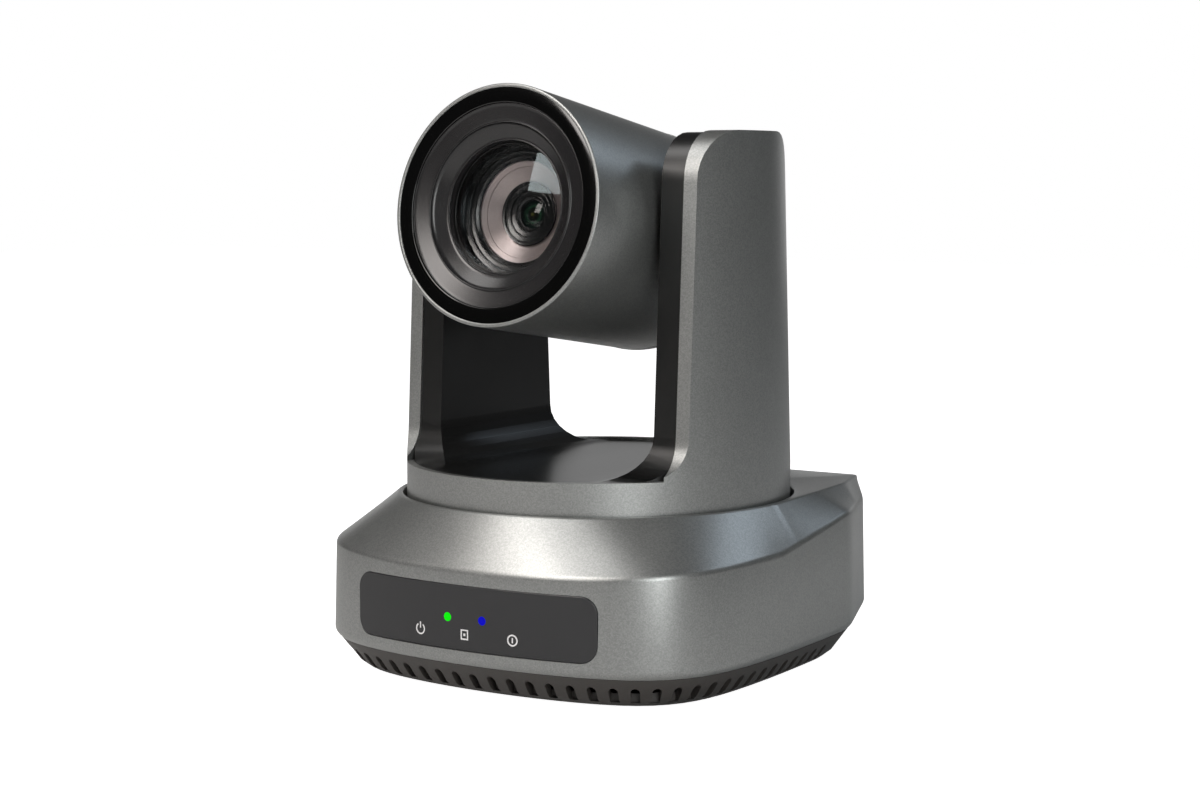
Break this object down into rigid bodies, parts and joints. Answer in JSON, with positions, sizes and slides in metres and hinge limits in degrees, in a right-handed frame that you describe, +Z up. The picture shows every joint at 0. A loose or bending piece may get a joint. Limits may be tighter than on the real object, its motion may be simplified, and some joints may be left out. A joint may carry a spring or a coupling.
{
  "type": "pan-tilt-zoom camera",
  "caption": "Desktop pan, tilt and zoom conference camera: a bevelled base, a turntable with two arms, and a tilting barrel head with a recessed zoom lens.",
  "frame": {"origin": "under the pan axis, on the surface that the feet stand on, which is the bottom centre of the whole camera to within 1 mm", "axes": "+Z up along the pan axis, the front window and the lens face -Y, +X is on the right seen from the front window looking back"},
  "size_m": [0.1418, 0.1446, 0.1761],
  "materials": {
    "shell_paint": "satin metallic champagne-grey paint with fine flake",
    "dark_plastic": "fine moulded texture",
    "black_steel": "black oxide",
    "foot_rubber": "matte",
    "brass": "turned",
    "window_acrylic": "smooth dark infrared-passing acrylic",
    "green_light": "lit green light pipe",
    "blue_light": "lit blue light pipe",
    "circuit_board": "solder mask",
    "black_plastic": "satin",
    "dark_aluminium": "black anodised",
    "plated_steel": "nickel plated",
    "white_plastic": "natural acetal",
    "cast_aluminium": "as cast",
    "bearing_steel": "ground",
    "liner_plastic": "black satin, smooth",
    "gloss_bezel": "high gloss black",
    "cone_plastic": "fine turned grooves",
    "coated_glass": "polished, anti-reflection coated",
    "inner_barrel": "satin",
    "sensor_glass": "smooth"
  },
  "bodies": {
    "base": {"base_cover": "shell_paint", "bottom_tray": "dark_plastic", "base_screws": "black_steel", "rubber_feet": "foot_rubber", "tripod_bush": "brass", "front_window": "window_acrylic", "power_light": "green_light", "standby_light": "blue_light", "light_board": "circuit_board", "ir_receiver": "black_plastic", "main_board": "circuit_board", "heat_sink": "dark_aluminium", "rear_panel": "black_plastic", "lan_socket": "plated_steel", "hdmi_socket": "plated_steel", "usb_socket": "plated_steel", "serial_socket": "plated_steel", "audio_jack": "black_plastic", "dc_jack": "black_plastic", "switch_frame": "black_plastic", "base_frame": "cast_aluminium", "pan_bearing": "bearing_steel", "pan_motor": "plated_steel"},
    "rocker": {"power_switch": "black_plastic"},
    "dial": {"selector_dial": "white_plastic"},
    "pan_drive": {"pan_pinion": "white_plastic"},
    "yoke": {"turntable": "cast_aluminium", "pan_gear": "white_plastic", "yoke_shell": "shell_paint", "yoke_liner": "liner_plastic", "yoke_frame": "plated_steel", "yoke_screws": "black_steel", "tilt_bearings": "bearing_steel", "tilt_motor": "plated_steel"},
    "tilt_drive": {"tilt_pinion": "white_plastic"},
    "head": {"tilt_gear": "white_plastic", "tilt_hub_left": "cast_aluminium", "tilt_hub_right": "cast_aluminium", "head_shell": "shell_paint", "rear_cap": "shell_paint", "front_bezel": "gloss_bezel", "cone_ring": "cone_plastic", "lens_barrel": "black_plastic", "front_lens": "coated_glass", "baffle_rings": "black_plastic", "inner_cone": "inner_barrel", "second_lens": "coated_glass", "iris_plate": "black_plastic", "guide_rods": "bearing_steel", "image_sensor": "sensor_glass", "sensor_board": "circuit_board", "head_chassis": "cast_aluminium", "head_screws": "black_steel"},
    "zoom_group": {"zoom_carriage": "black_plastic", "zoom_lens": "coated_glass"},
    "focus_group": {"focus_carriage": "black_plastic", "focus_lens": "coated_glass"}
  },
  "joints": [
    {"name": "pan", "type": "hinge", "parent": "base", "child": "yoke", "pos_m": [0, 0, 0.0499], "axis": [0, 0, 1], "range_deg": [-170, 170]},
    {"name": "tilt", "type": "hinge", "parent": "yoke", "child": "head", "pos_m": [0, 0, 0.1329], "axis": [-1, 0, 0], "range_deg": [-38.7, 81.3]},
    {"name": "pan_pinion_spin", "type": "hinge", "parent": "base", "child": "pan_drive", "pos_m": [-0.04031, 0.04031, 0.0413], "axis": [0, 0, 1], "range_deg": [-920, 920]},
    {"name": "tilt_pinion_spin", "type": "hinge", "parent": "yoke", "child": "tilt_drive", "pos_m": [0.044, 0, 0.1104], "axis": [-1, 0, 0], "range_deg": [-335, 165]},
    {"name": "zoom", "type": "slide", "parent": "head", "child": "zoom_group", "axis": [0, -0.9885, 0.1513], "range_m": [-0.006, 0.001]},
    {"name": "focus", "type": "slide", "parent": "head", "child": "focus_group", "axis": [0, -0.9885, 0.1513], "range_m": [-0.004, 0.006]},
    {"name": "power_rocker", "type": "hinge", "parent": "base", "child": "rocker", "pos_m": [0.0375, 0.0694, 0.0229], "axis": [1, 0, 0], "range_deg": [0, 16]},
    {"name": "selector", "type": "hinge", "parent": "base", "child": "dial", "pos_m": [0.0155, 0.069, 0.0291], "axis": [0, 1, 0], "range_deg": [0, 337.5]}
  ],
  "couplings": [
    {"joint": "pan_pinion_spin", "follows": "pan", "ratio": -5.3333},
    {"joint": "tilt_pinion_spin", "follows": "tilt", "ratio": -4}
  ]
}
